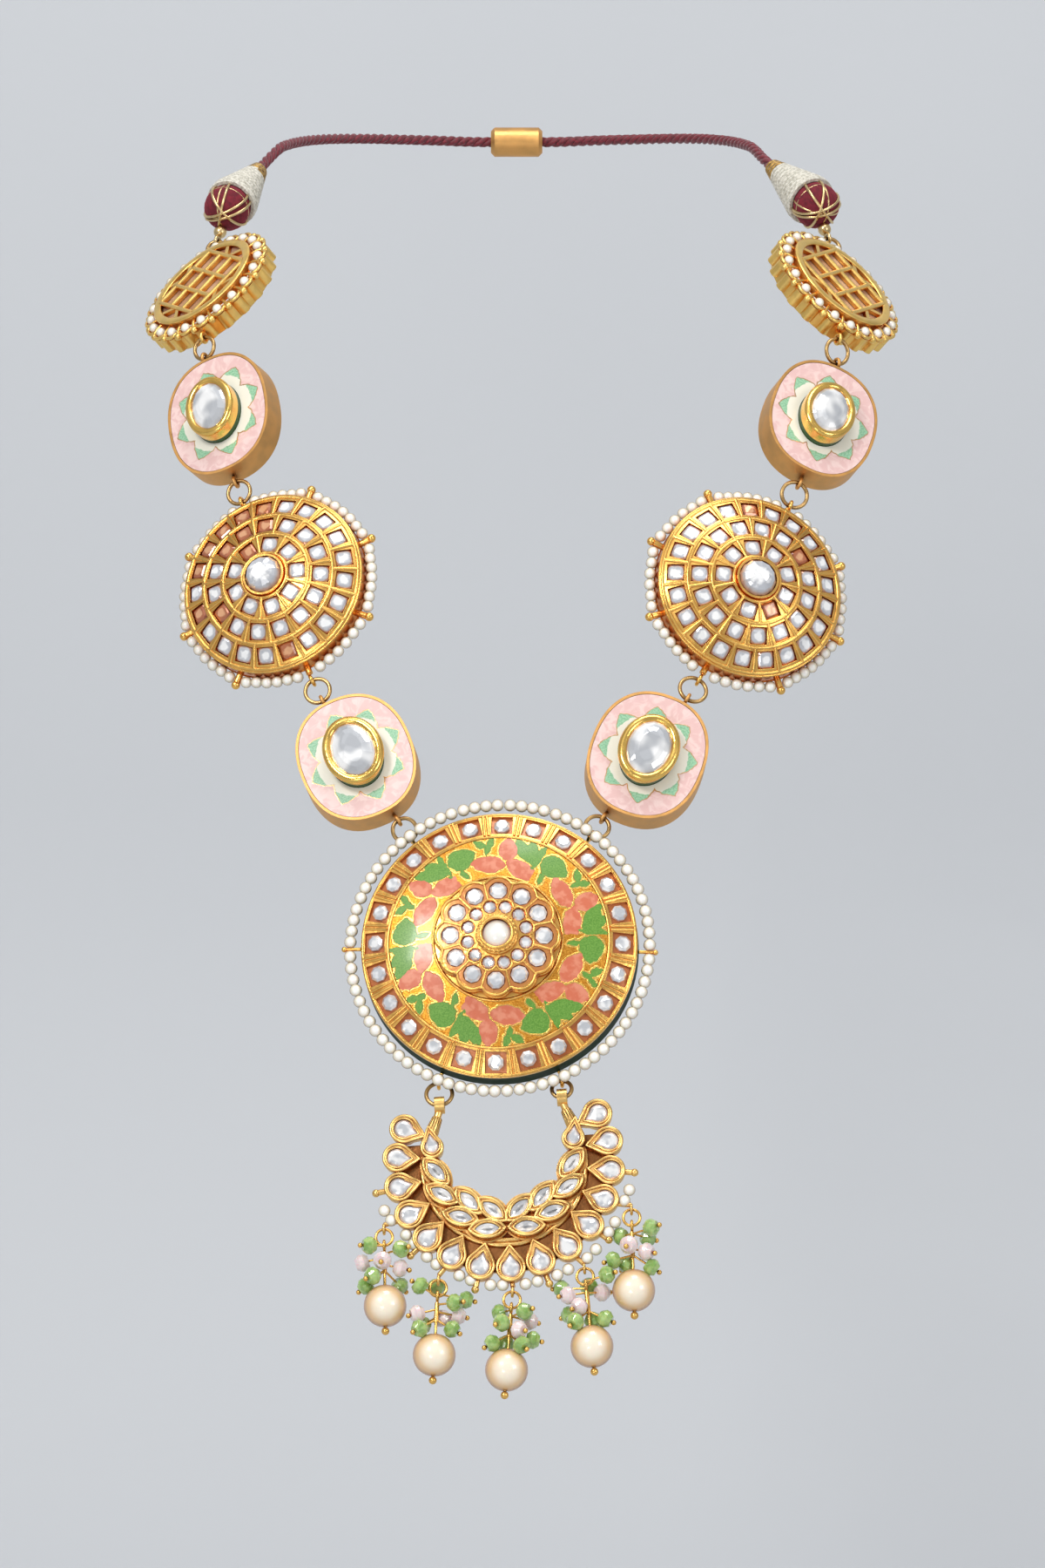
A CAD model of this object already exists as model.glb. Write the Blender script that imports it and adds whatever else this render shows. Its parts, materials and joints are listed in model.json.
import json
import math
import bpy
from mathutils import Matrix, Vector

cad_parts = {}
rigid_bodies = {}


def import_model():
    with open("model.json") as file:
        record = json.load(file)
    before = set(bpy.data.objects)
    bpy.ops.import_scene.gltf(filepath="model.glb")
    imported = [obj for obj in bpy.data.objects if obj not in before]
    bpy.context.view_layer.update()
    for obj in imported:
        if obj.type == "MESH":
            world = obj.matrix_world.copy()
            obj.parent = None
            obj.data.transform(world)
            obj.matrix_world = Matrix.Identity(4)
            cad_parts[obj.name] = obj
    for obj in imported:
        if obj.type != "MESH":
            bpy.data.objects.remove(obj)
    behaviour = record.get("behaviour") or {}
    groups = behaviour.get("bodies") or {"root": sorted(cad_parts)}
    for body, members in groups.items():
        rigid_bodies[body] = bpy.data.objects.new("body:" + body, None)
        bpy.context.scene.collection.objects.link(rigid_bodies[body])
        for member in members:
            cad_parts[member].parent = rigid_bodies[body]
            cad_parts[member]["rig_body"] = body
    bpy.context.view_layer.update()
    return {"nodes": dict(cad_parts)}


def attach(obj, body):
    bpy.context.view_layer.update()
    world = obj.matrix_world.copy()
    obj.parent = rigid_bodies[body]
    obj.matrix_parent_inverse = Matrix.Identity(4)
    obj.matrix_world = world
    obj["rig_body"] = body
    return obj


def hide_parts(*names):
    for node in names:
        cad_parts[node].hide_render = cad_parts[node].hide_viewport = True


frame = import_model()
nodes = frame["nodes"]
mm = 0.001
bpy.ops.object.select_all(action="DESELECT")
bpy.context.scene.view_settings.view_transform = "Standard"


# camera, floor and light
camera = {"at": (0.0016, -1.693, -0.175), "lens": 142.9, "sensor": 36}
studio = {
    "floorHeight": -0.43,
    "wallBehind": 0.32,
    "wallHeight": 3,
    "paperSize": 6,
    "sweep": 0.25,
    "tone": (197, 200, 204),
    "airTint": (0.985, 0.99, 1, 1),
    "airStrength": 0.52,
    # name, place, aim, size, power, warmth
    "lights": [
        ("keyLight", (-0.75, -1.35, 0.75), (0, -0.15, -0.18), 0.4, 11, (1, 0.985, 0.96)),
        ("fillLight", (1.05, -1.25, 0.2), (0, -0.15, -0.18), 0.5, 4, (1, 0.99, 0.98)),
        ("topLight", (0.1, -0.4, 1.0), (0, -0.15, -0.18), 0.5, 4.5, (1, 1, 1)),
        ("lowLight", (-0.3, -1.2, -0.4), (0, -0.18, -0.22), 0.3, 1.8, (1, 0.98, 0.95)),
        ("wallLight", (0.0, -0.35, 0.75), (0, 0.32, -0.1), 0.9, 1.1, (1, 1, 1)),
    ],
}


def addCamera():
    bpy.ops.object.camera_add(location=camera["at"], rotation=(math.radians(90), 0, 0))
    eye = bpy.context.object
    eye.data.lens = camera["lens"]
    eye.data.sensor_width = camera["sensor"]
    bpy.context.scene.camera = eye


def addLights():
    for name, place, aim, size, power, warmth in studio["lights"]:
        bpy.ops.object.light_add(type="AREA", location=place)
        lamp = bpy.context.object
        lamp.name = name
        lamp.data.size = size
        lamp.data.energy = power
        lamp.data.color = warmth
        lamp.rotation_euler = (Vector(aim) - lamp.location).to_track_quat("-Z", "Y").to_euler()
    world = bpy.data.worlds.new("studioAir")
    world.use_nodes = True
    air = world.node_tree.nodes["Background"].inputs
    air["Color"].default_value = studio["airTint"]
    air["Strength"].default_value = studio["airStrength"]
    bpy.context.scene.world = world


def addBackdrop():
    # a floor whose back edge is drawn up into a wall, with a round sweep between them
    back, floor, size = studio["wallBehind"], studio["floorHeight"], studio["paperSize"]
    near = 0.01
    bpy.ops.mesh.primitive_plane_add(size=size, location=(0, back - size / 2, floor))
    paper = bpy.context.object
    paper.name = "backdrop"
    settle(paper)

    def ends(edge):
        return [paper.data.vertices[v].co for v in edge.vertices]

    pick(paper, "EDGE", lambda edge: min(p.y for p in ends(edge)) > back - near)
    bpy.ops.mesh.extrude_region_move(TRANSFORM_OT_translate={"value": (0, 0, studio["wallHeight"])})
    leave()
    pick(paper, "EDGE", lambda edge: all(abs(p.y - back) < near and p.z < floor + near for p in ends(edge)))
    bpy.ops.mesh.bevel(offset=studio["sweep"], segments=12, affect="EDGES")
    leave()
    bpy.ops.object.shade_smooth()
    dress(paper, backdropPaper())


# shaping helpers
def edit(kind=None, action=None):
    bpy.ops.object.mode_set(mode="EDIT")
    if kind:
        bpy.ops.mesh.select_mode(type=kind)
    if action:
        bpy.ops.mesh.select_all(action=action)


def leave():
    bpy.ops.object.mode_set(mode="OBJECT")


def pick(piece, kind, wanted):
    # into edit mode, with only the wanted vertices, edges or faces selected
    edit(kind, "DESELECT")
    leave()
    mesh = piece.data
    for part in {"VERT": mesh.vertices, "EDGE": mesh.edges, "FACE": mesh.polygons}[kind]:
        part.select = wanted(part)
    edit()


def takeUp(piece):
    bpy.ops.object.select_all(action="DESELECT")
    piece.select_set(True)
    bpy.context.view_layer.objects.active = piece


def settle(piece, place=Matrix.Identity(4)):
    # the place goes into the mesh, and the object stays at the origin
    piece.data.transform(place @ piece.matrix_basis)
    piece.matrix_basis = Matrix.Identity(4)


def joinUp(pieces, name):
    takeUp(pieces[0])
    for piece in pieces:
        piece.select_set(True)
    if len(pieces) > 1:
        bpy.ops.object.join()
    whole = bpy.context.object
    whole.name = name
    return whole


def repeated(pattern, places, name):
    # one pattern at every place, each copy with its own mesh
    made = []
    for place in places:
        twin = pattern.copy()
        twin.data = pattern.data.copy()
        bpy.context.collection.objects.link(twin)
        settle(twin, place)
        made.append(twin)
    bpy.data.objects.remove(pattern)
    return joinUp(made, name)


def wire(runs, radius, name, place=Matrix.Identity(4), closed=False, roundness=2):
    # round wire of a radius in millimetres along runs of points that lie in a piece's own face
    line = bpy.data.curves.new(name, "CURVE")
    line.dimensions = "3D"
    line.bevel_depth = radius * mm
    line.bevel_resolution = roundness
    line.use_fill_caps = not closed
    for run in runs:
        spline = line.splines.new("POLY")
        spline.points.add(len(run) - 1)
        for point, at in zip(spline.points, run):
            point.co = (*(place @ at), 1)
        spline.use_cyclic_u = closed
    piece = bpy.data.objects.new(name, line)
    bpy.context.collection.objects.link(piece)
    takeUp(piece)
    bpy.ops.object.convert(target="MESH")
    bpy.ops.object.shade_smooth()
    return bpy.context.object


def smoothCopy(node, name, angle=32):
    # a merged copy of a node, shaded smooth up to an angle
    piece = nodes[node].copy()
    piece.data = nodes[node].data.copy()
    for key in list(piece.keys()):
        del piece[key]
    bpy.context.collection.objects.link(piece)
    piece.parent = None
    piece.matrix_basis = Matrix.Identity(4)
    piece.name = name
    takeUp(piece)
    if piece.data.has_custom_normals:
        bpy.ops.mesh.customdata_custom_splitnormals_clear()
    edit(action="SELECT")
    bpy.ops.mesh.remove_doubles(threshold=0.002 * mm)
    leave()
    bpy.ops.object.shade_smooth_by_angle(angle=math.radians(angle))
    return piece


def cutStone(outline, girdle, rows):
    # a stone on a flat back: the outline drawn up to the girdle, then rows of facets up to the table
    bpy.ops.object.select_all(action="DESELECT")
    bpy.ops.mesh.primitive_circle_add(vertices=len(outline), radius=mm, fill_type="NGON")
    stone = bpy.context.object
    for vertex, at in zip(stone.data.vertices, outline):
        vertex.co = at
    edit(action="SELECT")
    bpy.ops.mesh.normals_make_consistent(inside=False)
    bpy.ops.mesh.extrude_region_move(TRANSFORM_OT_translate={"value": (0, 0, girdle * mm)})
    for width, height in rows:
        bpy.ops.mesh.inset(thickness=width * mm, depth=height * mm)
    bpy.ops.mesh.select_all(action="SELECT")
    bpy.ops.mesh.normals_make_consistent(inside=False)
    leave()
    return stone


def smallBall(radius):
    bpy.ops.mesh.primitive_ico_sphere_add(subdivisions=2, radius=radius * mm)
    bpy.ops.object.shade_smooth()
    return bpy.context.object


def dress(piece, material):
    piece.data.materials.clear()
    piece.data.materials.append(material)


def fit(piece, material, body="chain", instead=None):
    # the last step for every piece: its finish, its body and the node that it stands for
    dress(piece, material)
    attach(piece, body)
    if instead:
        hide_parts(instead)


def redo(node, name, material, body="chain", angle=32):
    # a smooth copy that stands for its node
    piece = smoothCopy(node, name, angle)
    fit(piece, material, body, node)
    return piece


def paint(node, material):
    # a node that is shown as it is gets a better material
    for slot in nodes[node].material_slots:
        slot.material = material


def islandsOf(node):
    # the loose solids of a node: for each one the centre, and the points
    keys, lead, ids = {}, {}, []

    def find(k):
        while lead[k] != k:
            lead[k] = lead[lead[k]]
            k = lead[k]
        return k

    for vertex in nodes[node].data.vertices:
        key = tuple(round(c * 1e6) for c in vertex.co)
        keys.setdefault(key, vertex.co.copy())
        lead.setdefault(key, key)
        ids.append(key)
    for face in nodes[node].data.polygons:
        first = find(ids[face.vertices[0]])
        for v in face.vertices[1:]:
            lead[find(ids[v])] = first
    groups = {}
    for key, co in keys.items():
        groups.setdefault(find(key), []).append(co)
    solids = []
    for points in groups.values():
        low, high = [Vector([end(p[i] for p in points) for i in range(3)]) for end in (min, max)]
        solids.append(((low + high) / 2, points))
    return sorted(solids, key=lambda s: (round(s[0].x, 5), s[0].z))


def shortAxis(points, tries=48):
    # the direction in which a bead is thinnest, found among many tries
    best = None
    centre = sum(points, Vector()) / len(points)
    for i in range(tries // 2):
        for k in range(tries):
            tilt, turn = math.pi * i / (tries - 1), 2 * math.pi * k / tries
            way = Vector((math.sin(tilt) * math.cos(turn), math.sin(tilt) * math.sin(turn), math.cos(tilt)))
            spread = max(abs((p - centre).dot(way)) for p in points[::3])
            if best is None or spread < best[0]:
                best = (spread, way)
    return best[1]


def turned(angle, axis="Z"):
    return Matrix.Rotation(math.radians(angle), 4, axis)


def shifted(x, y, z=0):
    return Matrix.Translation(Vector((x, y, z)) * mm)


def placeMatrix(place):
    # x, y, z in millimetres, lean back, turn aside and roll in its own face, in degrees
    x, y, z, lean, turn, roll = place
    return shifted(x, y, z) @ turned(turn) @ turned(90 - lean, "X") @ turned(roll)


def alongMatrix(start, way):
    # the z axis of a piece laid along a direction, in millimetres from the start
    return shifted(*start) @ Vector(way).to_track_quat("Z", "Y").to_matrix().to_4x4()


def polar(radius, angle, height=0):
    # a point in a piece's own face, in metres from millimetres and degrees
    turn = math.radians(angle)
    return Vector((radius * math.cos(turn), radius * math.sin(turn), height)) * mm


def circle(radius, height, count=48):
    return [polar(radius, 360 * i / count, height) for i in range(count)]


def domeHeight(rs, top, radius):
    return top - rs + math.sqrt(rs * rs - radius * radius)


# material helpers
def linear(r, g, b):
    # a colour given from 0 to 255 as a screen shows it
    parts = [c / 255 for c in (r, g, b)]
    return (*[c / 12.92 if c <= 0.04045 else ((c + 0.055) / 1.055) ** 2.4 for c in parts], 1)


def shaded(tone, amount):
    return tuple(c * amount for c in tone)


def put(tree, socket, value):
    # a link, a screen colour or a plain value onto one socket
    if isinstance(value, bpy.types.NodeSocket):
        tree.links.new(value, socket)
    else:
        socket.default_value = linear(*value) if socket.type == "RGBA" else value


def add(tree, kind, inputs=None, **settings):
    node = tree.nodes.new(kind)
    for key, value in settings.items():
        setattr(node, key, value)
    for key, value in (inputs or {}).items():
        put(tree, node.inputs[key], value)
    return node


def into(tree, node, **values):
    for key, value in values.items():
        put(tree, node.inputs[key.replace("_", " ")], value)


def calc(tree, operation, *values):
    # more than two values are worked through from left to right
    out = values[0]
    for value in values[1:] or [None]:
        inputs = {0: out} if value is None else {0: out, 1: value}
        out = add(tree, "ShaderNodeMath", inputs, operation=operation).outputs[0]
    return out


def times(tree, *values):
    return calc(tree, "MULTIPLY", *values)


def plus(tree, *values):
    return calc(tree, "ADD", *values)


def less(tree, *values):
    return calc(tree, "SUBTRACT", *values)


def vec(tree, operation, first, second=None, **named):
    inputs = {0: first, **named} if second is None else {0: first, 1: second}
    node = add(tree, "ShaderNodeVectorMath", inputs, operation=operation)
    return node.outputs["Value" if operation in ("LENGTH", "DISTANCE") else "Vector"]


def flatWay(tree, point):
    return vec(tree, "MULTIPLY", point, (1.0, 1.0, 0.0))


def axes(tree, point):
    return add(tree, "ShaderNodeSeparateXYZ", {0: point}).outputs


def fromAxis(tree, x, y):
    return calc(tree, "SQRT", plus(tree, calc(tree, "POWER", x, 2.0), calc(tree, "POWER", y, 2.0)))


def reach(tree, value, low, high):
    # 0 at low, 1 at high, smooth between
    node = add(tree, "ShaderNodeMapRange", {"Value": value, "From Min": low, "From Max": high})
    node.interpolation_type = "SMOOTHSTEP"
    return node.outputs["Result"]


def band(tree, value, low, high, highEnd, lowEnd):
    # 1 between two ends, smooth at both
    return times(tree, reach(tree, value, low, high), reach(tree, value, highEnd, lowEnd))


def noise(tree, point, scale, detail, **more):
    inputs = {"Vector": point, "Scale": scale, "Detail": detail, **more}
    return add(tree, "ShaderNodeTexNoise", inputs).outputs["Fac"]


def wavy(tree, point, scale, amount):
    # the point moved a little, so that lines are uneven as drawn by hand
    ripple = add(tree, "ShaderNodeTexNoise", {"Vector": point, "Scale": scale, "Detail": 2}).outputs["Color"]
    shift = vec(tree, "SCALE", vec(tree, "SUBTRACT", ripple, (0.5, 0.5, 0.5)), Scale=amount)
    return vec(tree, "ADD", point, shift)


def blendColour(tree, mask, first, second):
    node = add(tree, "ShaderNodeMix", data_type="RGBA")
    for index, value in ((0, mask), (6, first), (7, second)):
        put(tree, node.inputs[index], value)
    return node.outputs[2]


def layColour(tree, shader, mask, tone):
    # a colour over the one that is there, where the mask is 1
    under = shader.inputs["Base Color"].links[0].from_socket
    into(tree, shader, Base_Color=blendColour(tree, mask, under, tone))


def bumped(tree, height, strength, distance, **more):
    inputs = {"Height": height, "Strength": strength, "Distance": distance * mm, **more}
    return add(tree, "ShaderNodeBump", inputs).outputs[0]


def facetNormal(tree, point, scale, tilt):
    # the surface seems to lean another way in every cell
    cells = add(tree, "ShaderNodeTexVoronoi", {"Vector": point, "Scale": float(scale)}).outputs["Color"]
    lean = vec(tree, "SCALE", vec(tree, "SUBTRACT", cells, (0.5, 0.5, 0.5)), Scale=tilt)
    face = add(tree, "ShaderNodeNewGeometry").outputs["Normal"]
    return vec(tree, "NORMALIZE", vec(tree, "ADD", face, lean))


def newMaterial(name, **values):
    material = bpy.data.materials.new(name)
    material.use_nodes = True
    tree = material.node_tree
    shader = tree.nodes["Principled BSDF"]
    into(tree, shader, **values)
    return material, tree, shader


def objectPoint(tree):
    return add(tree, "ShaderNodeTexCoord").outputs["Object"]


def facePoint(tree, place):
    # the point in millimetres in the own face of a piece
    spin = placeMatrix(place).to_3x3().transposed()
    inputs = {"Vector": objectPoint(tree), "Location": spin @ (Vector(place[:3]) * -1),
              "Rotation": spin.to_euler("XYZ"), "Scale": (1000, 1000, 1000)}
    return add(tree, "ShaderNodeMapping", inputs, vector_type="POINT").outputs["Vector"]


def makeGroup(name, inputs, outputs):
    # names of the sockets by kind: Vector where named so, numbers elsewhere
    group = bpy.data.node_groups.new(name, "ShaderNodeTree")
    for labels, way in ((inputs, "INPUT"), (outputs, "OUTPUT")):
        for label in labels:
            kind = "NodeSocketVector" if label in ("Vector", "Centre") else "NodeSocketFloat"
            group.interface.new_socket(name=label, in_out=way, socket_type=kind)
    return group, group.nodes.new("NodeGroupInput").outputs, group.nodes.new("NodeGroupOutput")


def useGroup(tree, group, **values):
    node = tree.nodes.new("ShaderNodeGroup")
    node.node_tree = group
    into(tree, node, **values)
    return node.outputs


def handWorkedGroup():
    # soft unevenness of hand-worked metal: a slow tone and a height for bump
    group, given, result = makeGroup("handWorked", ["Vector", "Fine", "Broad"], ["Tone", "Height"])
    broad = noise(group, given["Vector"], given["Broad"], 2)
    fine = noise(group, given["Vector"], given["Fine"], 3)
    height = plus(group, times(group, broad, 0.7), times(group, fine, 0.3))
    into(group, result, Tone=reach(group, broad, 0.3, 0.7), Height=height)
    return group


def petalGroup():
    # distance in millimetres from the edge of a petal, and less than nothing inside it
    labels = ["Vector", "Centre", "Angle", "Half length", "Half width", "Taper", "Pointed"]
    group, given, result = makeGroup("petalShape", labels, ["Distance"])
    offset = vec(group, "SUBTRACT", given["Vector"], given["Centre"])
    angle = times(group, given["Angle"], -math.pi / 180)
    spun = add(group, "ShaderNodeVectorRotate", {"Vector": offset, "Angle": angle}, rotation_type="Z_AXIS").outputs[0]
    parts = axes(group, spun)
    along = calc(group, "DIVIDE", parts["X"], given["Half length"])
    narrow = less(group, 1.0, times(group, along, given["Taper"]))
    across = calc(group, "DIVIDE", parts["Y"], given["Half width"], narrow)
    squared = times(group, along, along)
    far = calc(group, "SQRT", plus(group, squared, times(group, across, across)))
    oval = less(group, far, 1.0)
    leaf = less(group, plus(group, calc(group, "ABSOLUTE", across), squared), 1.0)
    point = times(group, less(group, leaf, oval), given["Pointed"])
    shape = plus(group, oval, point)
    into(group, result, Distance=times(group, shape, given["Half width"]))
    return group


def sectorGroup():
    # turns every point round the axis into the first of several equal sectors
    group, given, result = makeGroup("sector", ["Vector", "Step", "Offset"], ["Vector"])
    parts = axes(group, given["Vector"])
    degrees = times(group, calc(group, "ARCTAN2", parts["Y"], parts["X"]), 180 / math.pi)
    steps = calc(group, "DIVIDE", less(group, degrees, given["Offset"]), given["Step"])
    back = plus(group, times(group, calc(group, "ROUND", steps), given["Step"]), given["Offset"])
    inputs = {"Vector": given["Vector"], "Angle": times(group, back, -math.pi / 180)}
    into(group, result, Vector=add(group, "ShaderNodeVectorRotate", inputs, rotation_type="Z_AXIS").outputs[0])
    return group


def depthGroup():
    # how far a point lies under a dome of a given radius and top, in millimetres
    group, given, result = makeGroup("underDome", ["Vector", "Radius", "Top"], ["Depth"])
    lift = less(group, given["Radius"], given["Top"])
    centre = add(group, "ShaderNodeCombineXYZ", {"Z": lift}).outputs[0]
    far = vec(group, "LENGTH", vec(group, "ADD", given["Vector"], centre))
    into(group, result, Depth=less(group, given["Radius"], far))
    return group


handWorked = handWorkedGroup()
petalShape = petalGroup()
sector = sectorGroup()
underDome = depthGroup()


# materials
golds = {
    "bright": (250, 198, 108),
    "deep": (216, 122, 50),
    "satin": (228, 174, 106),
    "pendant": (248, 204, 126),
    "pendantDeep": (184, 98, 42),
    "wire": (194, 158, 104),
    "resin": (188, 112, 62),
    "satinDeep": (140, 92, 40),
    "sunWall": (205, 112, 40),
    "sunPit": (178, 88, 34),
    "basePlate": (112, 50, 28),
    "ovalEnamel": (34, 74, 24),
    "edgeEnamel": (20, 46, 18),
    # scale of the slow tone, how dark it gets, what counts as a hollow, and the spread of the shine
    "broad": 260.0,
    "darker": 0.93,
    "hollows": (0.25, 0.9),
    "spread": 0.1,
    "bumpDepth": 0.25,
}


def goldFinish(name, tone, deep, roughness=0.2, fine=1500, strength=0.35, edge=0.15, hollow=1.6):
    # gold with a redder tone in its hollows, rounded edges and fine unevenness
    material, tree, shader = newMaterial(name, Metallic=1.0)
    worked = useGroup(tree, handWorked, Vector=objectPoint(tree), Fine=fine, Broad=golds["broad"])
    inner = add(tree, "ShaderNodeAmbientOcclusion", {"Distance": hollow * mm}, samples=4).outputs["AO"]
    plain = blendColour(tree, worked["Tone"], shaded(tone, golds["darker"]), tone)
    rounded = add(tree, "ShaderNodeBevel", {"Radius": edge * mm}, samples=3).outputs[0]
    into(tree, shader,
         Base_Color=blendColour(tree, reach(tree, inner, *golds["hollows"]), deep, plain),
         Roughness=plus(tree, times(tree, worked["Tone"], golds["spread"]), roughness),
         Normal=bumped(tree, worked["Height"], strength, golds["bumpDepth"], Normal=rounded))
    return material, tree, shader


def lessMetal(tree, shader, mask, amount=1.0):
    part = mask if amount == 1.0 else times(tree, mask, amount)
    into(tree, shader, Metallic=less(tree, 1.0, part))


def satinGold(place):
    # matte walls, a bright bezel, and dark green enamel round the foot of the bezel
    material, tree, shader = goldFinish("satinGold", golds["satin"], golds["satinDeep"], 0.42, 2600, 0.5)
    parts = axes(tree, facePoint(tree, place))
    width, length = ovals["foot"]
    oval = fromAxis(tree, calc(tree, "DIVIDE", parts["X"], width), calc(tree, "DIVIDE", parts["Y"], length))
    cup = times(tree, reach(tree, oval, 1.02, 1.0), reach(tree, parts["Z"], -0.4, -0.2))
    side = times(tree, reach(tree, oval, 0.9, 0.92), reach(tree, parts["Z"], 1.5, 1.3))
    green = times(tree, cup, side)
    layColour(tree, shader, cup, golds["bright"])
    layColour(tree, shader, green, golds["ovalEnamel"])
    lessMetal(tree, shader, green)
    rough = shader.inputs["Roughness"].links[0].from_socket
    into(tree, shader, Roughness=less(tree, rough, times(tree, cup, 0.24)))
    return material


def domeParts(tree, place, rs, top):
    # depth under the dome, distance from the axis and height in the own face, in millimetres
    point = facePoint(tree, place)
    parts = axes(tree, point)
    depth = useGroup(tree, underDome, Vector=point, Radius=rs, Top=top)["Depth"]
    return depth, fromAxis(tree, parts["X"], parts["Y"]), parts["Z"]


def sunGold(name, place, rs, top, radius):
    # bright ribs on the dome, redder gold in the pits and on the side wall
    material, tree, shader = goldFinish(name, golds["bright"], golds["deep"], 0.2, 1500, 0.35, 0.22, 1.2)
    depth, far, height = domeParts(tree, place, rs, top)
    pit = times(tree, reach(tree, depth, 0.25, 0.7), reach(tree, far, radius - 0.3, radius - 0.5))
    wall = band(tree, far, radius - 0.25, radius - 0.05, radius + 0.4, radius + 0.2)
    wall = times(tree, wall, reach(tree, height, -0.2, -0.6))
    layColour(tree, shader, times(tree, wall, 0.65), golds["sunWall"])
    layColour(tree, shader, times(tree, pit, 0.8), golds["sunPit"])
    return material


def medallionGold(place, rs, top, radius):
    # gold face, red-brown resin round the stones, dark green enamel on the side and the back
    material, tree, shader = goldFinish("medallionGold", golds["bright"], golds["deep"], 0.2, 1300, 0.5, 0.22, 1.2)
    depth, far, height = domeParts(tree, place, rs, top)
    pit = times(tree, reach(tree, depth, 0.35, 0.6), reach(tree, far, radius - 0.35, radius - 0.5))
    side = band(tree, far, radius - 0.2, radius - 0.1, radius + 0.35, radius + 0.25)
    side = times(tree, side, reach(tree, height, 1.2, 0.9))
    back = times(tree, reach(tree, height, -3.8, -3.95), reach(tree, far, radius + 0.35, radius + 0.25))
    green = calc(tree, "MAXIMUM", side, back)
    layColour(tree, shader, pit, golds["resin"])
    layColour(tree, shader, green, golds["edgeEnamel"])
    lessMetal(tree, shader, calc(tree, "MAXIMUM", green, times(tree, pit, 0.8)))
    rough = shader.inputs["Roughness"].links[0].from_socket
    dull = times(tree, green, 0.35)
    into(tree, shader, Roughness=plus(tree, rough, dull), Specular_IOR_Level=less(tree, 0.5, dull))
    return material


def rosetteGold(place, rs, top):
    # gold edges, and the resin in the cells of the outer stones
    material, tree, shader = goldFinish("rosetteGold", golds["bright"], golds["deep"], 0.22, 1500, 0.7, 0.15, 1.0)
    depth, far, _ = domeParts(tree, place, rs, top)
    pit = times(tree, reach(tree, depth, -0.25, 0.05), band(tree, far, 8.6, 9.2, 14.4, 14.0))
    layColour(tree, shader, times(tree, pit, 0.85), golds["resin"])
    lessMetal(tree, shader, pit, 0.7)
    return material


def pendantGold(place):
    # darker on the base plate, which lies deepest
    material, tree, shader = goldFinish(
        "pendantGold", golds["pendant"], golds["pendantDeep"], 0.24, 1700, 0.4, 0.15, 1.4)
    low = band(tree, axes(tree, facePoint(tree, place))["Z"], -0.42, -0.48, -0.6, -0.55)
    layColour(tree, shader, times(tree, low, 0.85), golds["basePlate"])
    return material


def foilStone(name, bright, dim, tilt=0.3, scale=330, cloudScale=500):
    # a flat-cut stone over foil: the facets inside it throw light in patches
    material, tree, shader = newMaterial(name, Metallic=0.35, Roughness=0.1, Coat_Weight=1.0, Coat_Roughness=0.02)
    point = objectPoint(tree)
    cloud = noise(tree, point, float(cloudScale), 1)
    into(tree, shader, Base_Color=blendColour(tree, reach(tree, cloud, 0.4, 0.62), dim, bright),
         Normal=facetNormal(tree, point, scale, tilt))
    return material


def sunStoneSkin(name, place, bright, dim, edge):
    # each stone is brightest in its middle and shows the foil's colour at its edge
    material, tree, shader = newMaterial(name, Metallic=0.25, Roughness=0.12, Coat_Weight=1.0, Coat_Roughness=0.02)
    point = facePoint(tree, place)
    flat = flatWay(tree, point)
    near = times(tree, vec(tree, "LENGTH", flat), 0.46)
    for radius, count, first in sun["rows"]:
        folded = useGroup(tree, sector, Vector=flat, Step=360 / count, Offset=float(first))["Vector"]
        near = calc(tree, "MINIMUM", near, vec(tree, "DISTANCE", folded, (float(radius), 0.0, 0.0)))
    cloud = less(tree, noise(tree, point, 0.55, 2), 0.5)
    uneven = plus(tree, near, times(tree, cloud, 2.2))
    core = blendColour(tree, reach(tree, uneven, 0.75, 1.35), bright, dim)
    into(tree, shader, Base_Color=blendColour(tree, reach(tree, near, 1.75, 2.1), core, edge),
         Normal=facetNormal(tree, point, 0.4, 0.28))
    return material


def wornSkin(name, first, second, fine, broad, strength, depth, **values):
    # two near tones and a fine unevenness, for cloth, thread, pearls and paste
    material, tree, shader = newMaterial(name, **values)
    worked = useGroup(tree, handWorked, Vector=objectPoint(tree), Fine=fine, Broad=broad)
    into(tree, shader, Base_Color=blendColour(tree, worked["Tone"], first, second),
         Normal=bumped(tree, worked["Height"], strength, depth))
    return material, tree, shader, worked["Tone"]


def pearlSkin(name, light, middle, rim):
    # pearl lustre: light where it faces us, a warmer band towards the rim
    material, tree, shader, _ = wornSkin(
        name, light, shaded(light, 0.98), 2600.0, 420.0, 0.06, 0.1, Roughness=0.3,
        Coat_Weight=1.0, Coat_Roughness=0.08, Subsurface_Weight=0.1, Subsurface_Scale=0.001)
    facing = add(tree, "ShaderNodeLayerWeight", {"Blend": 0.5}).outputs["Facing"]
    layColour(tree, shader, reach(tree, facing, 0.02, 0.4), middle)
    layColour(tree, shader, reach(tree, facing, 0.35, 0.85), rim)
    return material


def beadGlass(name, light, dark):
    material, tree, shader = newMaterial(
        name, Roughness=0.12, Coat_Weight=1.0, Coat_Roughness=0.04, Subsurface_Weight=0.25, Subsurface_Scale=0.0015)
    cloud = noise(tree, objectPoint(tree), 520.0, 3)
    into(tree, shader, Base_Color=blendColour(tree, reach(tree, cloud, 0.35, 0.65), dark, light))
    return material


def velvetCloth():
    return wornSkin("velvetCloth", (92, 14, 30), (120, 22, 40), 5200.0, 900.0, 0.7, 0.2,
                    Roughness=0.85, Sheen_Weight=0.5, Sheen_Roughness=0.4, Sheen_Tint=(190, 60, 80))[0]


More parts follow.
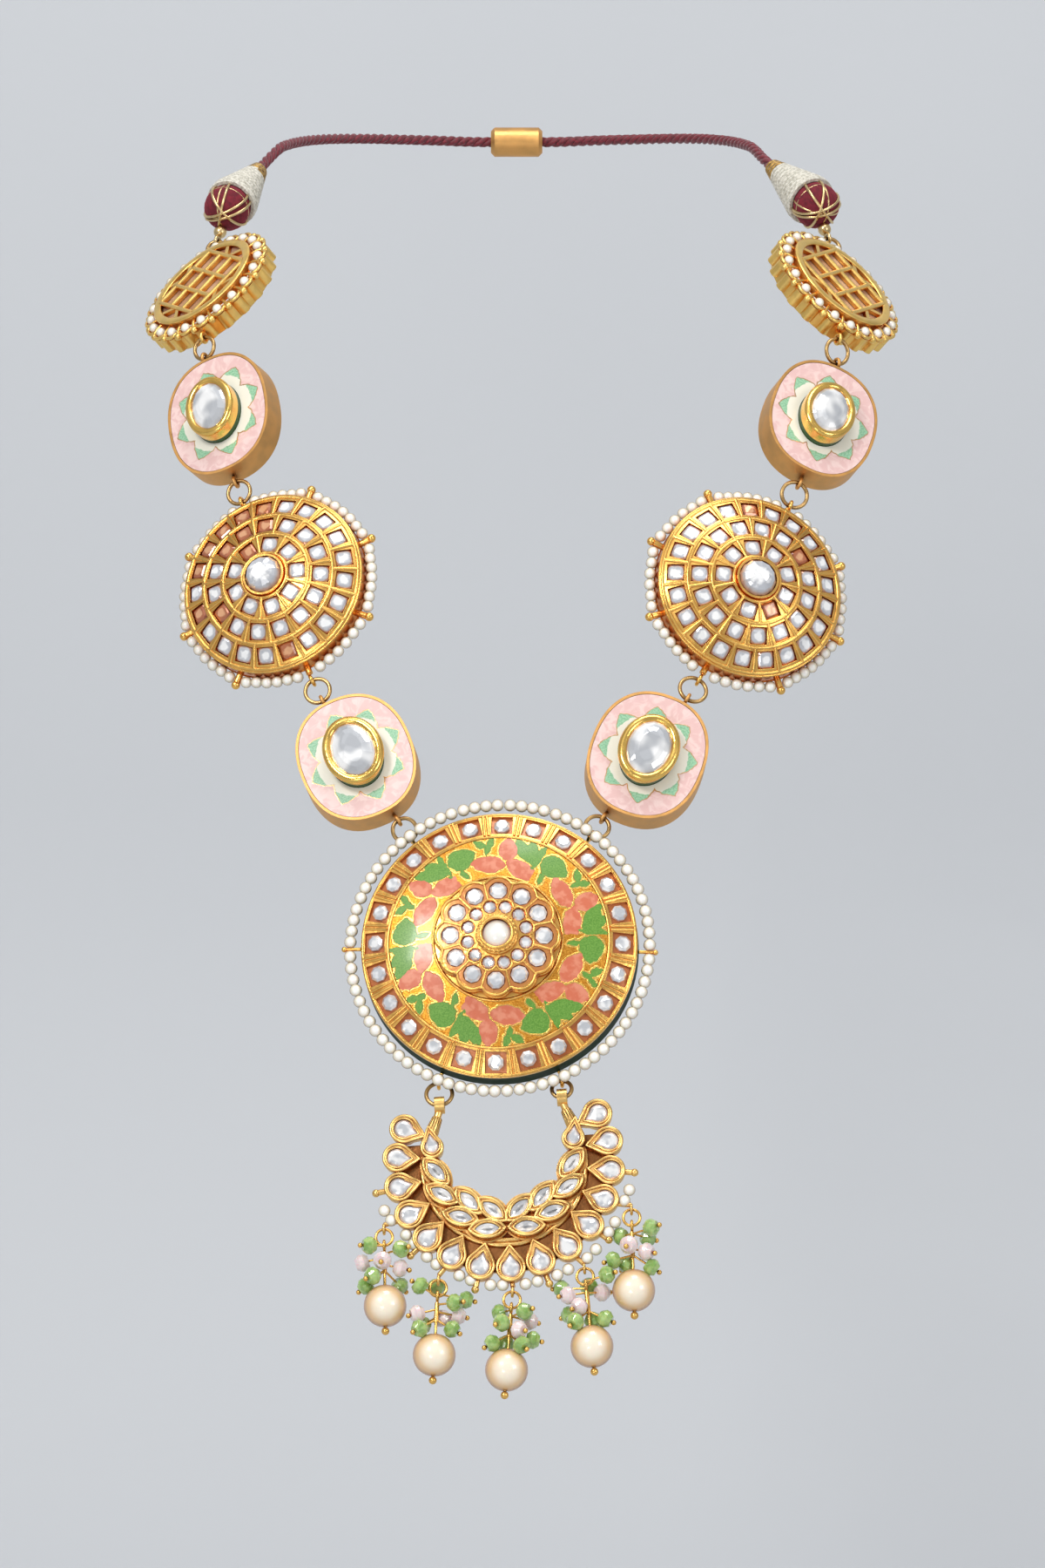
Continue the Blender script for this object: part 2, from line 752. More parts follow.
def threadSkin(name, light, dark, roughness, metallic=0.0):
    material, tree, shader, tone = wornSkin(
        name, dark, light, 7000.0, 1500.0, 0.4, 0.12, Metallic=metallic, Sheen_Weight=0.25)
    into(tree, shader, Roughness=plus(tree, times(tree, tone, 0.12), roughness))
    return material


def clearDiscSkin():
    return wornSkin("clearDisc", (176, 138, 112), (208, 176, 152), 900.0, 160.0, 0.15, 0.4,
                    Roughness=0.12, Coat_Weight=1.0, Coat_Roughness=0.03)[0]


def backdropPaper():
    # pale paper, clear from its back so that the part can be seen from behind
    material, tree, shader = newMaterial("backdropPaper", Roughness=0.95, Specular_IOR_Level=0.1)
    fromBack = add(tree, "ShaderNodeNewGeometry").outputs["Backfacing"]
    cloud = noise(tree, objectPoint(tree), 1.5, 1)
    dark, light = [tuple(c + step for c in studio["tone"]) for step in (-1, 1)]
    into(tree, shader, Alpha=less(tree, 1.0, fromBack), Base_Color=blendColour(tree, cloud, dark, light))
    return material


tileEnamel = {
    "pink": (227, 188, 184),
    "pearly": (238, 208, 203),
    "white": (234, 232, 218),
    "green": (158, 204, 170),
    "deepGreen": (126, 182, 142),
    "line": (214, 172, 126),
    # distance of its centre, half length and half width of a petal, and how far out its green tip starts
    "petal": (7.0, 5.3, 3.5),
    "whiteReach": 9.9,
    "squash": 0.93,
    "firstTip": 9.0,
}


def tileEnamelSkin(name, place):
    # pearly pink ground with a flower of eight pointed petals, white within and green at the tips
    v = tileEnamel
    material, tree, shader = newMaterial(name, Roughness=0.3, Coat_Weight=0.7, Coat_Roughness=0.12)
    point = facePoint(tree, place)
    squashed = vec(tree, "MULTIPLY", wavy(tree, point, 0.9, 0.8), (1.0, v["squash"], 1.0))
    folded = useGroup(tree, sector, Vector=squashed, Step=45.0, Offset=v["firstTip"])["Vector"]
    parts = axes(tree, folded)
    centre, length, width = v["petal"]
    edge = useGroup(tree, petalShape, Vector=flatWay(tree, folded), Centre=(centre, 0, 0), Angle=0.0,
                    Half_length=length, Half_width=width, Taper=0.0, Pointed=0.8)["Distance"]
    line = reach(tree, calc(tree, "ABSOLUTE", edge), 0.2, 0.1)
    bulge = times(tree, calc(tree, "POWER", parts["Y"], 2.0), -0.05)
    out = less(tree, parts["X"], bulge)
    tip = reach(tree, out, v["whiteReach"] - 0.1, v["whiteReach"] + 0.1)
    cloud = noise(tree, point, 0.35, 4, Distortion=1.2)
    grain = noise(tree, point, 2.4, 2)
    ground = blendColour(tree, reach(tree, cloud, 0.42, 0.62), v["pink"], v["pearly"])
    greenTone = blendColour(tree, reach(tree, grain, 0.35, 0.6), v["deepGreen"], v["green"])
    petals = blendColour(tree, tip, v["white"], greenTone)
    dressed = blendColour(tree, reach(tree, edge, 0.03, -0.03), ground, petals)
    height = plus(tree, times(tree, line, 0.5), times(tree, grain, 0.25))
    into(tree, shader, Base_Color=blendColour(tree, line, dressed, v["line"]),
         Metallic=times(tree, line, 0.9), Normal=bumped(tree, height, 0.25, 0.15))
    return material


ringEnamel = {
    "greens": ((84, 138, 40), (112, 160, 62)),
    "corals": ((206, 108, 76), (220, 138, 108)),
    "grounds": ((196, 124, 36), (232, 168, 66)),
    "line": (250, 205, 110),
    "sector": 60.0,
    "firstSector": -26.0,
    # petals of one sector: colour, centre, angle, half length, half width, taper, pointed
    "petals": [
        ("green", (21.2, 7.9), -68, 3.7, 2.95, 0.3, 0.2),
        ("coral", (23.0, -3.5), -1, 3.4, 2.35, 0.15, 0.45),
        ("coral", (19.2, 1.5), 84, 4.4, 2.35, 0.1, 0.5),
        ("coral", (17.0, -6.6), -128, 4.6, 2.3, 0.1, 0.5),
        ("green", (22.0, -7.5), 27, 4.4, 1.75, -0.25, 0.8),
        ("green", (21.4, -9.4), 3, 4.0, 1.6, -0.25, 0.8),
        ("green", (20.4, -11.2), -36, 3.7, 1.5, -0.25, 0.8),
        ("green", (24.7, 3.3), 60, 2.0, 1.0, 0, 0.7),
        ("green", (25.1, 0.8), -20, 1.7, 0.95, 0, 0.7),
        ("green", (23.3, 1.6), 170, 1.7, 0.8, 0, 0.7),
        ("green", (16.8, 7.2), 40, 1.9, 0.8, 0, 0.6),
        ("green", (16.6, -8.6), -10, 1.6, 0.8, 0, 0.6),
    ],
}


def medallionEnamelSkin(place):
    # green leaves and coral flowers, outlined in gold on an engraved gold ground
    v = ringEnamel
    material, tree, shader = newMaterial("medallionEnamel", Coat_Weight=0.35, Coat_Roughness=0.1)
    point = facePoint(tree, place)
    flat = flatWay(tree, wavy(tree, point, 0.7, 1.1))
    folded = useGroup(tree, sector, Vector=flat, Step=v["sector"], Offset=v["firstSector"])["Vector"]
    nearest = {}
    for tone, centre, angle, length, width, taper, pointed in v["petals"]:
        near = useGroup(tree, petalShape, Vector=folded, Centre=(*centre, 0), Angle=angle, Half_length=length,
                        Half_width=width, Taper=taper, Pointed=pointed)["Distance"]
        nearest[tone] = calc(tree, "MINIMUM", nearest[tone], near) if tone in nearest else near
    both = calc(tree, "MINIMUM", nearest["green"], nearest["coral"])
    fill = reach(tree, both, 0.0, -0.12)
    line = band(tree, both, -0.06, 0.06, 0.45, 0.3)
    isCoral = calc(tree, "LESS_THAN", nearest["coral"], nearest["green"])
    grain = noise(tree, point, 3.2, 3)
    blotch = noise(tree, point, 0.5, 2)
    greenTone = blendColour(tree, reach(tree, grain, 0.35, 0.65), *v["greens"])
    coralTone = blendColour(tree, reach(tree, blotch, 0.4, 0.65), *v["corals"])
    enamel = blendColour(tree, isCoral, greenTone, coralTone)
    ground = blendColour(tree, reach(tree, grain, 0.38, 0.62), *v["grounds"])
    metal = blendColour(tree, line, ground, v["line"])
    bare = less(tree, 1.0, fill)
    carved = times(tree, bare, times(tree, grain, 0.7))
    height = plus(tree, times(tree, line, 0.6), carved)
    into(tree, shader, Base_Color=blendColour(tree, fill, metal, enamel), Metallic=bare,
         Roughness=less(tree, 0.34, times(tree, line, 0.14)),
         Normal=bumped(tree, height, 0.5, 0.22))
    return material


# sizes of the pierced discs that the top ends hang from
jali = {
    "left": (-79.4, -105, -47.9, 42, -50.7, 0),
    "right": (82.3, -107, -48, 40.5, 51, 0),
    "topEye": {"left": 131.1, "right": 46.9},
    "turn": {"left": -15, "right": 15},
    "pearls": 21,
    "pearlRadius": 1.32,
    "ring": 16.9,
    "cellRadius": 1.95,
    "cellWire": 0.45,
    # radius and height of the points of a wall between two cells
    "cellWall": [(15.0, 0.3), (16.6, 0.3), (18.4, -0.3)],
    "cellHeight": -0.2,
    "stringHeight": 0.1,
    "lattice": (-9.5, -3.17, 3.17, 9.5),
    "latticeWire": 0.68,
    "latticeHeight": 1.35,
    # radius, thickness and height of the flat ring
    "rim": (14.05, 1.2, 1.5),
    "rimFlatness": 0.35,
    "knob": 1.05,
    "knobRing": 18.35,
    "knobHeight": -0.7,
}

# tie cord, slide, cones and cloth balls
cord = {
    # points from the right cone to the nape in millimetres, and the middle behind the neck
    "half": [(62.4, -53.5, -7.6), (60.4, -46.5, -5.9), (58, -39.5, -4.5), (55, -32.5, -3.3), (51, -26, -2.3),
             (46, -19.5, -1.5), (40, -13.5, -0.9), (33.5, -8.2, -0.5), (27, -3.6, -0.2), (20.5, 0.2, 0),
             (14, 2.9, 0), (8, 4, 0)],
    "middle": (0, 4, 0),
    "leftTip": (-67.3, -63, -14.1),
    "rightTip": (67, -65, -13.6),
    "diameter": 2.9,
    "strand": 0.78,
    "strands": 3,
    "twistEvery": 7.5,
    # how far beyond the tip of each cone, along its axis, the first two points lie
    "fromTip": (0.1, 5),
    "coreOver": 0.1,
}
balls = {
    "left": {"centre": (-74.9, -81, -25.8), "tip": cord["leftTip"]},
    "right": {"centre": (77.6, -83, -25.3), "tip": cord["rightTip"]},
    "radius": 5.9,
    "coneFoot": 6.4,
    "coneTip": 1.9,
    "coneStart": 2.9,
    "coneKnee": 4.6,
    "metalFrom": 0.78,
    "thread": 0.48,
    "turns": 12,
    "pointsPerTurn": 22,
    # how far the winding stops from the tip, and how deep the thread sinks into the cone
    "coneEnd": 0.3,
    "threadSunk": 0.148,
    # turn and distance from the middle of each gold wire round the ball
    "wires": [(15, 0.5), (75, -0.7), (130, 0.8), (20, -0.8)],
    "wire": 0.4,
    # how far the cloth and the wires lie over the ball, and the grain and depth of the cloth
    "clothOver": 0.06,
    "wireOver": 0.2,
    "fuzz": (0.7, 0.22),
    # radius and height of the eyelet that the ball hangs from, in the disc's own face
    "eyelet": (20, -3),
}


def coneEnds(side):
    return Vector(balls[side]["centre"]), Vector(balls[side]["tip"])


def cordRoute():
    points = []
    for side in ("left", "right"):
        centre, tip = coneEnds(side)
        way = (tip - centre).normalized()
        points.append([tip + way * q for q in cord["fromTip"]])
    half = [Vector(q) for q in cord["half"]]
    left = [Vector((-q.x, q.y, q.z)) for q in half]
    return points[0] + left + [Vector(cord["middle"])] + half[::-1] + points[1][::-1]


def smoothRoute(points, steps=8):
    # a smooth line through all the points
    ends = [points[0] * 2 - points[1]] + points + [points[-1] * 2 - points[-2]]
    line = []
    for a, b, c, d in zip(ends, ends[1:], ends[2:], ends[3:]):
        for i in range(steps):
            t = i / steps
            curve = (2 * a - 5 * b + 4 * c - d) * t**2 + (3 * b - a - 3 * c + d) * t**3
            line.append(0.5 * (2 * b + (c - a) * t + curve))
    return line + [points[-1]]


def routeLength(line):
    return sum((b - a).length for a, b in zip(line, line[1:]))


def makeCord():
    line = smoothRoute(cordRoute())
    offset = cord["diameter"] / 2 - cord["strand"]
    runs = [[] for _ in range(cord["strands"])]
    gone = 0
    for i, point in enumerate(line):
        way = (line[min(i + 1, len(line) - 1)] - line[max(i - 1, 0)]).normalized()
        side = way.cross(Vector((0, 0, 1))).normalized()
        up = side.cross(way)
        gone += (point - line[max(i - 1, 0)]).length
        for k, run in enumerate(runs):
            turn = 2 * math.pi * (gone / cord["twistEvery"] + k / cord["strands"])
            run.append((point + offset * (side * math.cos(turn) + up * math.sin(turn))) * mm)
    route = [p * mm for p in line]
    rope = wire(runs, cord["strand"], "dori_cord_twisted")
    rope = joinUp([rope, wire([route], offset + cord["coreOver"], "cordCore", roundness=1)], "dori_cord_twisted")
    fit(rope, threadSkin("cordThread", (122, 22, 40), (84, 12, 26), 0.5), instead="dori_cord")
    length = routeLength(line) * mm
    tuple(route[0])
    print("cord", round(length * 1000), "mm")


def woundCone(side, threads):
    # threads wound in both directions over the cone, and a metallic stretch at its tip
    centre, tip = coneEnds(side)
    height = (tip - centre).length
    low, knee, turns = balls["coneStart"], balls["coneKnee"], balls["turns"]
    for part, start, end in (("thread", 0, balls["metalFrom"]), ("tip", balls["metalFrom"], 1)):
        runs = []
        count = int(turns * balls["pointsPerTurn"] * (end - start))
        for hand in (1, -1):
            run = []
            for i in range(count + 1):
                t = start + (end - start) * i / count
                z = low + (height - low - balls["coneEnd"]) * t
                narrowing = max(0, (z - knee) / (height - knee))
                width = balls["coneFoot"] + (balls["coneTip"] - balls["coneFoot"]) * narrowing
                turn = hand * 2 * math.pi * turns * t
                run.append(polar(width - balls["threadSunk"], math.degrees(turn), z))
            runs.append(run)
        winding = wire(runs, balls["thread"], "cone_%s_%s_winding" % (side, part),
                       alongMatrix(centre, tip - centre), roundness=1)
        fit(winding, threads[part])
    redo("cone_" + side, "cone_%s_core" % side, threads["thread"])


def clothBall(side, velvet, paleGold):
    # a cloth ball under crossing wires, over the node's own bead and loop
    centre, _ = coneEnds(side)
    bpy.ops.mesh.primitive_ico_sphere_add(subdivisions=5, radius=(balls["radius"] + balls["clothOver"]) * mm)
    ball = bpy.context.object
    ball.name = "ball_%s_cloth" % side
    grain, depth = balls["fuzz"]
    fuzz = bpy.data.textures.new("fuzz", "CLOUDS")
    fuzz.noise_scale = grain * mm
    ruffle = ball.modifiers.new("ruffle", "DISPLACE")
    ruffle.texture = fuzz
    ruffle.strength = depth * mm
    bpy.ops.object.modifier_apply(modifier="ruffle")
    bpy.ops.object.shade_smooth()
    settle(ball, shifted(*centre))
    fit(ball, velvet)
    # the bands cross in front, above the bead that hangs towards the disc
    radius, height = balls["eyelet"]
    eyelet = placeMatrix(jali[side]) @ polar(radius, jali["topEye"][side], height) / mm
    base = alongMatrix(centre, (eyelet - centre).normalized() + Vector((0, -0.9, 0.2)))
    runs = []
    for turn, aside in balls["wires"]:
        r = math.sqrt((balls["radius"] + balls["wireOver"]) ** 2 - aside**2)
        spin = turned(turn) @ turned(90, "X")
        runs.append([spin @ p for p in circle(r, aside)])
    wires = wire(runs, balls["wire"], "ball_%s_wires" % side, base, closed=True, roundness=1)
    fit(wires, paleGold)
    redo("ball_" + side, "ball_%s_bead" % side, paleGold)


def makeTopEnds():
    velvet = velvetCloth()
    threads = {
        "thread": threadSkin("whiteThread", (226, 222, 210), (176, 172, 158), 0.75),
        "tip": threadSkin("metallicThread", (206, 166, 92), (130, 96, 44), 0.35, 0.8),
    }
    paleGold = goldFinish("paleGold", (232, 204, 150), (160, 122, 70), 0.25, 2400, 0.3, 0.1, 1.2)[0]
    for side in ("left", "right"):
        woundCone(side, threads)
        clothBall(side, velvet, paleGold)
    paint("cord_slide", goldFinish("slideGold", golds["satin"], golds["deep"], 0.38)[0])
    makeCord()
    print("top ends made")


# pearls on their strings
strings = {"thread": 0.16, "polesPressed": 0.88, "steps": 400}


def pearl(radius, segments):
    # a round pearl, its two poles pressed in where the thread goes
    bpy.ops.mesh.primitive_uv_sphere_add(segments=segments, ring_count=segments * 5 // 8, radius=radius * mm)
    ball = bpy.context.object
    pick(ball, "VERT", lambda vertex: abs(vertex.co.z) > radius * mm * 0.999)
    bpy.ops.transform.resize(value=(1, 1, strings["polesPressed"]))
    leave()
    bpy.ops.object.shade_smooth()
    return ball


def stringed(place, stations, radius, name, segments=12):
    # pearls at given points of a face, each turned along its string, and the thread through them
    matrix = placeMatrix(place)
    places = []
    for run in stations:
        for i, point in enumerate(run):
            way = run[min(i + 1, len(run) - 1)] - run[max(i - 1, 0)]
            places.append(matrix @ Matrix.Translation(point) @ way.to_track_quat("Z", "Y").to_matrix().to_4x4())
    beads = repeated(pearl(radius, segments), places, name)
    return joinUp([beads, wire(stations, strings["thread"], name + "_thread", matrix, roundness=1)], name)


def evenRun(pathAt, start, end, spacing):
    # points from start to end along a path, as evenly as the spacing allows
    steps = strings["steps"]
    line = [pathAt(start + (end - start) * i / steps) for i in range(steps + 1)]
    length = routeLength(line)
    count = max(1, round(length / spacing))
    run, gone, want = [line[0]], 0, length / count
    for a, b in zip(line, line[1:]):
        gone += (b - a).length
        if gone >= want - 1e-9 and len(run) <= count:
            run.append(b)
            want += length / count
    if len(run) == count:
        run.append(line[-1])
    return run


# pierced discs
def makePiercedDiscs(pearls):
    v = jali
    glass = clearDiscSkin()
    gold = goldFinish("jaliGold", (255, 214, 124), (228, 138, 58), 0.28, 1500, 0.6, 0.18, 1.8)[0]
    step = 360 / v["pearls"]
    low, high = v["lattice"][0], v["lattice"][-1]
    for side in ("left", "right"):
        matrix = placeMatrix(v[side])
        redo("jali_frame_" + side, "jali_%s_gold" % side, gold)
        paint("jali_glass_" + side, glass)
        stations = [[polar(v["ring"], step * i, v["stringHeight"]) for i in range(v["pearls"])]]
        string = stringed(v[side], stations, v["pearlRadius"], "jali_%s_pearls" % side, 16)
        fit(string, pearls, instead="jali_pearls_" + side)
        # a cell round each pearl, a broad flat ring inside them, and rounded bars on the lattice
        walls, bars = [], []
        for i in range(v["pearls"]):
            walls.append([polar(r, step * (i + 0.5), h) for r, h in v["cellWall"]])
            centre = polar(v["ring"], step * i, v["cellHeight"])
            walls.append([centre + polar(v["cellRadius"], step * i + t) for t in range(-80, 81, 20)])
        cells = wire(walls, v["cellWire"], "jali_%s_cells" % side, matrix)
        for at in v["lattice"]:
            for ends in (((at, low), (at, high)), ((low, at), (high, at))):
                bars.append([Vector((x, y, v["latticeHeight"])) * mm for x, y in ends])
        lattice = wire(bars, v["latticeWire"], "jali_%s_lattice" % side, matrix @ turned(v["turn"][side]))
        radius, thick, height = v["rim"]
        bpy.ops.mesh.primitive_torus_add(
            major_segments=72, minor_segments=10, major_radius=radius * mm, minor_radius=thick * mm)
        rim = bpy.context.object
        edit()
        bpy.ops.transform.resize(value=(1, 1, v["rimFlatness"]))
        leave()
        bpy.ops.object.shade_smooth()
        settle(rim, matrix @ shifted(0, 0, height))
        # knobs on the crests between the pearls
        crests = [polar(v["knobRing"], step * (i + 0.5), v["knobHeight"]) for i in range(v["pearls"])]
        spots = [matrix @ Matrix.Translation(p) for p in crests]
        knobs = repeated(smallBall(v["knob"]), spots, "jali_%s_knobs" % side)
        fit(joinUp([cells, lattice, rim, knobs], "jali_%s_cells" % side), gold)
    print("pierced discs made")


# oval tiles
ovals = {
    "upper_left": (-74.9, -132.5, -82, 21.5, -30, 23),
    "upper_right": (77, -135, -83.4, 26, 24, -29),
    "lower_left": (-39.1, -175, -168.3, 23.5, -9, 24),
    "lower_right": (32.1, -177, -167.8, 23, 4, -21.5),
    "cupTop": 4.0,
    # half sizes of the cup's foot, where its enamel ends
    "foot": (7.0, 8.8),
    # half width, half height and wire of the bezel, and half sizes of the stone in it
    "bezel": (6.1, 7.8, 1.15),
    "stone": (5.5, 7.2),
    "girdle": 3.2,
    "bezelSunk": 0.15,
    "stoneFrom": 1.0,
    # how far in and up each row of facets goes
    "facets": [(0.9, 0.75), (1.1, 0.5), (1.2, 0.25)],
    "cupScale": {"upper": 0.94, "lower": 1.03},
}


def ovalOutline(a, b, count):
    turns = [2 * math.pi * i / count for i in range(count)]
    return [Vector((a * math.cos(turn), b * math.sin(turn), 0)) * mm for turn in turns]


def makeOvalTiles(white):
    bezelGold = goldFinish("bezelGold", (250, 206, 112), golds["deep"], 0.16, 700, 0.8, 0.1, 1.2)[0]
    for name in ("upper_left", "upper_right", "lower_left", "lower_right"):
        place = ovals[name]
        matrix = placeMatrix(place)
        redo("oval_" + name, "oval_%s_case" % name, satinGold(place))
        paint("oval_enamel_" + name, tileEnamelSkin("tileEnamel_" + name, place))
        scale = ovals["cupScale"][name[:5]]
        a, b, thick = [q * scale for q in ovals["bezel"]]
        lift = Vector((0, 0, (ovals["cupTop"] - ovals["bezelSunk"]) * mm))
        rim = [p + lift for p in ovalOutline(a, b, 56)]
        bezel = wire([rim], thick, "oval_%s_bezel" % name, matrix, closed=True, roundness=3)
        fit(bezel, bezelGold)
        outline = ovalOutline(*[q * scale for q in ovals["stone"]], 14)
        stone = cutStone(outline, ovals["girdle"], ovals["facets"])
        settle(stone, matrix @ shifted(0, 0, ovals["stoneFrom"]))
        stone.name = "oval_%s_cut_stone" % name
        fit(stone, white, instead="oval_stone_" + name)
    print("oval tiles made")


# sun discs
sun = {
    "left": (-60.2, -154.5, -125.4, 19, -20.5, 0),
    "right": (57.8, -157, -126.3, 18, 16.5, 0),
    "radius": 23.4,
    "rise": 6.0,
    # radius, number and first angle of each row of stones
    "rows": [(8.4, 9, 10), (14.2, 15, 4), (19.8, 21, 0)],
    # angle of each staple, and whether a ring hangs in it
    "staples_left": [(-152, 0), (-107, 0), (-62.8, 1), (-17, 0), (29, 0), (78, 0), (118.9, 1), (161, 0)],
    "staples_right": [(-165, 0), (-122, 1), (-76, 0), (-29, 0), (15, 0), (58.6, 1), (106, 0), (151, 0)],
    # degrees that the pearls keep from a plain staple, and from one with a ring
    "staplesClear": (5.5, 7.2),
    "string": 26.1,
    "stringHeight": -3.5,
    "wallGap": 24.85,
    "pearl": 1.48,
    "pearlSpacing": 1.83,
    # stones in brown foil: row, number in the row
    "amber_left": [(2, 6), (2, 7), (2, 8), (2, 9), (2, 10), (2, 12), (1, 4), (1, 5), (1, 6), (1, 9), (0, 3), (2, 17)],
    "amber_right": [(2, 5), (1, 1), (0, 7)],
    "rings": (5.9, 11.3, 17.0, 22.75),
    # inner and outer end of the ribs in each row
    "ribs": [(6.0, 11.2), (11.5, 16.9), (17.2, 22.7)],
    "ringWire": 0.5,
    "ribWire": 0.45,
    "lipWire": 0.35,
    # how deep the rings and ribs sit in the dome, and the lip's step inward and its two heights
    "ringSunk": 0.12,
    "ribSunk": 0.08,
    "lip": (0.1, (-0.25, -4.4)),
    # faces this near to the middle of a brown stone belong to it
    "foilReach": 2.4,
}


def sunString(side):
    staples = sun["staples_" + side]
    around = staples[1:] + [(staples[0][0] + 360, staples[0][1])]
    runs = []
    for (first, ringed), (last, ringedNext) in zip(staples, around):
        middle, half = (first + last) / 2, math.radians((last - first) / 2)

        def pathAt(angle):
            chord = sun["string"] * math.cos(half) / math.cos(math.radians(angle - middle))
            return polar(max(sun["wallGap"], chord), angle, sun["stringHeight"])

        clear = sun["staplesClear"]
        spacing = sun["pearlSpacing"] * sun["pearl"] * mm
        runs.append(evenRun(pathAt, first + clear[ringed], last - clear[ringedNext], spacing))
    return runs


def sunStones(side):
    # the loose stones of the node, parted by the foil that lies under them
    place = sun[side]
    white = sunStoneSkin("sunStone_" + side, place, (255, 255, 255), (196, 198, 204), (186, 140, 110))
    amber = sunStoneSkin("sunAmber_" + side, place, (226, 168, 124), (178, 104, 66), (140, 66, 34))
    whole = redo("sun_stones_" + side, "sun_%s_stones" % side, white, angle=5)
    whole.data.materials.append(amber)
    brown = []
    for row, number in sun["amber_" + side]:
        radius, count, first = sun["rows"][row]
        brown.append(polar(radius, first + 360 * number / count))
    inverse = placeMatrix(place).inverted()
    for face in whole.data.polygons:
        at = inverse @ face.center
        face.material_index = int(any((Vector((at.x, at.y, 0)) - b).length < sun["foilReach"] * mm for b in brown))


def onDome(rs, top, radius, angle, lift=0.0):
    return polar(radius, angle, domeHeight(rs, top, radius) + lift)


def makeSunDiscs(pearls):
    radius, rise = sun["radius"], sun["rise"]
    rs = (radius**2 + rise**2) / (2 * rise)
    for side in ("left", "right"):
        place = sun[side]
        matrix = placeMatrix(place)
        gold = sunGold("sunGold_" + side, place, rs, rise, radius)
        redo("sun_plate_" + side, "sun_%s_plate" % side, gold)
        sunStones(side)
        string = stringed(place, sunString(side), sun["pearl"], "sun_%s_pearls" % side)
        fit(string, pearls, instead="sun_pearls_" + side)
        runs = [circle(r, domeHeight(rs, rise, r) - sun["ringSunk"]) for r in sun["rings"]]
        rings = wire(runs, sun["ringWire"], "sun_%s_rings" % side, matrix, closed=True)
        ribs = []
        for (_, count, first), (inner, outer) in zip(sun["rows"], sun["ribs"]):
            for i in range(count):
                angle = first + 360 * (i + 0.5) / count
                ribs.append([onDome(rs, rise, r, angle, -sun["ribSunk"]) for r in (inner, (inner + outer) / 2, outer)])
        bars = wire(ribs, sun["ribWire"], "sun_%s_bars" % side, matrix)
        fit(joinUp([rings, bars], "sun_%s_ribs" % side), gold)
        inset, heights = sun["lip"]
        lip = [circle(radius - inset, height, 60) for height in heights]
        fit(wire(lip, sun["lipWire"], "sun_%s_lip" % side, matrix, closed=True), gold)
    print("sun discs made")


# medallion
medallion = {
    "place": (-3.9, -193, -214.3, 19.5, -4, 0),
    "radius": 33.4,
    "rise": 6.2,
    "top": 8.0,
    "settings": 24,
    "string": 36.2,
    "pearl": 1.55,
    "pearlSpacing": 1.84,
    "hooks": (-178.9, -2.0),
    "hookGap": 2.95,
    "ribEnds": (27.2, 29.2, 31.2, 32.9),
    # degrees between a rib and the middle of its pair, true at this radius
    "ribPair": 1.05,
    "ribPairAt": 26,
    "rounds": (15.6, 26.7, 32.95),
    "wire": 0.36,
    "ribSunk": 0.05,
    "lineSunk": 0.1,
}
rosette = {
    "lobes": 12,
    "lobeReach": 11.2,
    "lobeRadius": 3.95,
    "lift": 1.9,
    "edgeWire": 0.34,
    "edgeInset": 0.25,
    # size and height of the upper and the lower outline
    "edges": [(1, 0.1), (1.012, -1.2)],
    "cellWire": 0.3,
    "partition": (9.2, 11.2, 13.6),
    "partitionLift": 0.02,
    "innerCell": (7.2, 1.95),
    # radius and height over the top of each round of the centre's bezel
    "bezel": [(3.85, 1.6), (4.35, 1.1), (4.7, 0.2)],
    "bezelWire": 0.42,
    "granules": 26,
    "granuleAt": (4.55, 1.15),
}


def medallionString():
    first, second = medallion["hooks"]
    gap, spacing = medallion["hookGap"], medallion["pearlSpacing"] * medallion["pearl"] * mm
    return [evenRun(lambda angle: polar(medallion["string"], angle, 0), start + gap, end - gap, spacing)
            for start, end in ((first, second), (second, first + 360))]


def makeRosette(place, rs, top):
    # the rosette with a double outline and a partition between its lobes
    v = rosette
    matrix = placeMatrix(place)
    gold = rosetteGold(place, rs, top)
    redo("medallion_rosette", "rosette_gold", gold)

    def raised(point, lift=0.0):
        far = math.hypot(point.x, point.y) / mm
        return Vector((0, 0, (domeHeight(rs, top, far) + lift) * mm))

    step = 360 / v["lobes"]
    outline = []
    for i in range(v["lobes"]):
        centre = polar(v["lobeReach"], step * i)
        outline += [centre + polar(v["lobeRadius"] - v["edgeInset"], step * i + t) for t in range(-58, 59, 8)]
    scallops = [[p * size + raised(p, lift) for p in outline] for size, lift in v["edges"]]
    edging = wire(scallops, v["edgeWire"], "rosette_edging", matrix, closed=True)
    partitions = []
    out, radius = v["innerCell"]
    for i in range(v["lobes"]):
        angle = step * (i + 0.5)
        partitions.append([onDome(rs, top, r, angle, v["partitionLift"]) for r in v["partition"]])
        arc = [polar(out, angle) + polar(radius, angle + t) for t in range(-80, 81, 16)]
        partitions.append([p + raised(p) for p in arc])
    cells = wire(partitions, v["cellWire"], "rosette_cells", matrix)
    cup = [circle(r, top + h) for r, h in v["bezel"]]
    bezel = wire(cup, v["bezelWire"], "rosette_bezel", matrix, closed=True)
    out, lift = v["granuleAt"]
    count = v["granules"]
    spots = [matrix @ Matrix.Translation(polar(out, 360 * i / count, top + lift)) for i in range(count)]
    granules = repeated(smallBall(v["bezelWire"]), spots, "rosette_granules")
    fit(joinUp([edging, cells, bezel, granules], "rosette_wirework"), gold)


